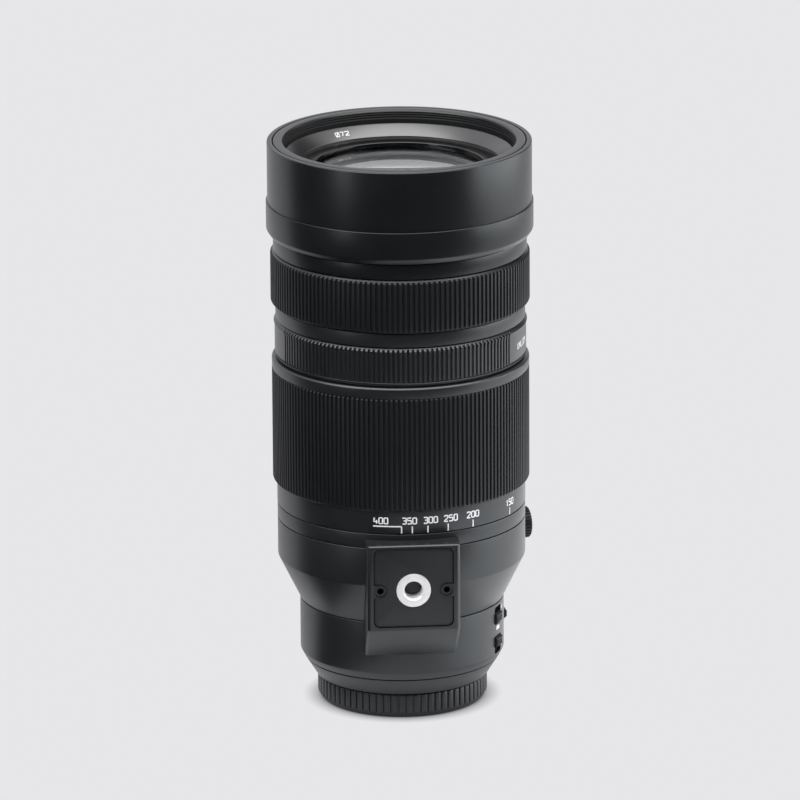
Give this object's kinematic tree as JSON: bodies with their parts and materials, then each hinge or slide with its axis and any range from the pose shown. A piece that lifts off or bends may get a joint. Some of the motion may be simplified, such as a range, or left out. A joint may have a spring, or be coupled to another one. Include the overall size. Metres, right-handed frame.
{
  "type": "camera zoom lens",
  "caption": "Telephoto zoom lens with an extending front barrel, sliding hood, ribbed zoom and focus rings, a turning tripod collar with foot, slide switches and a rear cap.",
  "frame": {"origin": "centre of the rear cap's bottom face, on the optical axis", "axes": "+Z along the optical axis towards the front glass, -Y the way the tripod foot faces, +X the side with the switches and the lock knob"},
  "size_m": [0.0833, 0.0861, 0.1799],
  "materials": {
    "outer_black": "fine matte black coating",
    "grip_rubber": "matte ribbed grip",
    "frame_alloy": "machined",
    "steel": "plated",
    "socket_steel": "turned bright",
    "brass_roller": "turned",
    "contact_gold": "gold plated",
    "inner_black": "moulded, light trapping",
    "name_ring_black": "satin",
    "panel_black": "fine grain",
    "cap_plastic": "moulded",
    "switch_plastic": "moulded",
    "board_green": "solder mask",
    "felt": "flocked",
    "motor_grey": "pressed",
    "coated_glass": "coated"
  },
  "bodies": {
    "barrel": {"mount_plate": "steel", "mount_screws": "steel", "contact_block": "inner_black", "contact_pins": "contact_gold", "tail_cover": "outer_black", "rear_barrel": "outer_black", "switch_board": "board_green", "main_board": "board_green", "main_barrel": "frame_alloy", "index_ring": "outer_black", "cam_retaining_ring": "frame_alloy", "zoom_brake_pads": "felt", "middle_collar": "outer_black", "focus_sensor": "inner_black", "nose_collar": "outer_black", "dust_seal": "felt", "ois_frame": "frame_alloy", "iris_housing": "inner_black", "iris_blades": "inner_black", "focus_rods": "steel", "focus_motor": "motor_grey", "rear_cell": "inner_black", "rear_glass": "coated_glass"},
    "rear_cap": {"rear_cap": "cap_plastic"},
    "focus_mode_switch": {"focus_mode_switch": "switch_plastic"},
    "focus_range_switch": {"focus_range_switch": "switch_plastic"},
    "stabiliser_switch": {"stabiliser_switch": "switch_plastic"},
    "tripod_collar": {"tripod_collar": "outer_black", "foot_block": "outer_black", "foot_screws": "steel", "foot_panel": "panel_black", "tripod_socket": "socket_steel"},
    "lock_knob": {"lock_knob": "outer_black"},
    "zoom_ring": {"zoom_ring": "outer_black", "zoom_grip": "grip_rubber", "zoom_drive_key": "steel", "cam_barrel": "frame_alloy"},
    "zoom_lock_ring": {"zoom_lock_ring": "outer_black", "lock_grip": "outer_black"},
    "focus_ring": {"focus_ring": "outer_black", "focus_grip": "grip_rubber"},
    "front_barrel": {"extending_tube": "outer_black", "front_rollers": "brass_roller", "front_head": "outer_black", "front_glass": "coated_glass", "name_ring": "name_ring_black", "inner_cell": "inner_black", "inner_glass": "coated_glass"},
    "hood_slider": {"hood_slider": "felt"},
    "lens_hood": {"lens_hood": "outer_black"},
    "variator": {"variator_cell": "inner_black", "variator_glass": "coated_glass", "variator_rollers": "brass_roller"},
    "ois_slide": {"ois_slide": "frame_alloy"},
    "ois_cell": {"ois_cell": "inner_black", "ois_glass": "coated_glass"},
    "focus_group": {"focus_cell": "inner_black", "focus_glass": "coated_glass"}
  },
  "joints": [
    {"name": "cap_twist", "type": "hinge", "parent": "barrel", "child": "rear_cap", "pos_m": [0, 0, 0.004], "axis": [0, 0, 1], "range_deg": [-45, 0]},
    {"name": "focus_mode_slide", "type": "slide", "parent": "barrel", "child": "focus_mode_switch", "axis": [0, 0, 1], "range_m": [0, 0.0016]},
    {"name": "focus_range_slide", "type": "slide", "parent": "barrel", "child": "focus_range_switch", "axis": [0, 0, -1], "range_m": [0, 0.0016]},
    {"name": "stabiliser_slide", "type": "slide", "parent": "barrel", "child": "stabiliser_switch", "axis": [0, 0, -1], "range_m": [0, 0.0016]},
    {"name": "collar_turn", "type": "hinge", "parent": "barrel", "child": "tripod_collar", "pos_m": [0, 0, 0.046], "axis": [0, 0, 1], "range_deg": [-90, 0]},
    {"name": "knob_turn", "type": "hinge", "parent": "tripod_collar", "child": "lock_knob", "pos_m": [0.038, 0.00877, 0.052], "axis": [0.9744, 0.225, 0], "range_deg": [0, 360]},
    {"name": "zoom_turn", "type": "hinge", "parent": "barrel", "child": "zoom_ring", "pos_m": [0, 0, 0.09], "axis": [0, 0, 1], "range_deg": [0, 105]},
    {"name": "front_extend", "type": "slide", "parent": "barrel", "child": "front_barrel", "axis": [0, 0, 1], "range_m": [0, 0.0685]},
    {"name": "variator_move", "type": "slide", "parent": "barrel", "child": "variator", "axis": [0, 0, 1], "range_m": [0, 0.025]},
    {"name": "zoom_lock_turn", "type": "hinge", "parent": "barrel", "child": "zoom_lock_ring", "pos_m": [0, 0, 0.117], "axis": [0, 0, 1], "range_deg": [0, 30]},
    {"name": "focus_turn", "type": "hinge", "parent": "barrel", "child": "focus_ring", "pos_m": [0, 0, 0.137], "axis": [0, 0, 1], "continuous": true},
    {"name": "hood_slide", "type": "slide", "parent": "front_barrel", "child": "hood_slider", "axis": [0, 0, 1], "range_m": [0, 0.02]},
    {"name": "hood_twist", "type": "hinge", "parent": "hood_slider", "child": "lens_hood", "pos_m": [0, 0, 0.16], "axis": [0, 0, 1], "range_deg": [0, 20]},
    {"name": "ois_x", "type": "slide", "parent": "barrel", "child": "ois_slide", "axis": [1, 0, 0], "range_m": [-0.0006, 0.0006]},
    {"name": "ois_y", "type": "slide", "parent": "ois_slide", "child": "ois_cell", "axis": [0, 1, 0], "range_m": [-0.0006, 0.0006]},
    {"name": "focus_move", "type": "slide", "parent": "barrel", "child": "focus_group", "axis": [0, 0, 1], "range_m": [0, 0.006]}
  ],
  "couplings": [
    {"joint": "front_extend", "follows": "zoom_turn", "m_per_rad": 0.037379},
    {"joint": "variator_move", "follows": "zoom_turn", "m_per_rad": 0.013642}
  ]
}
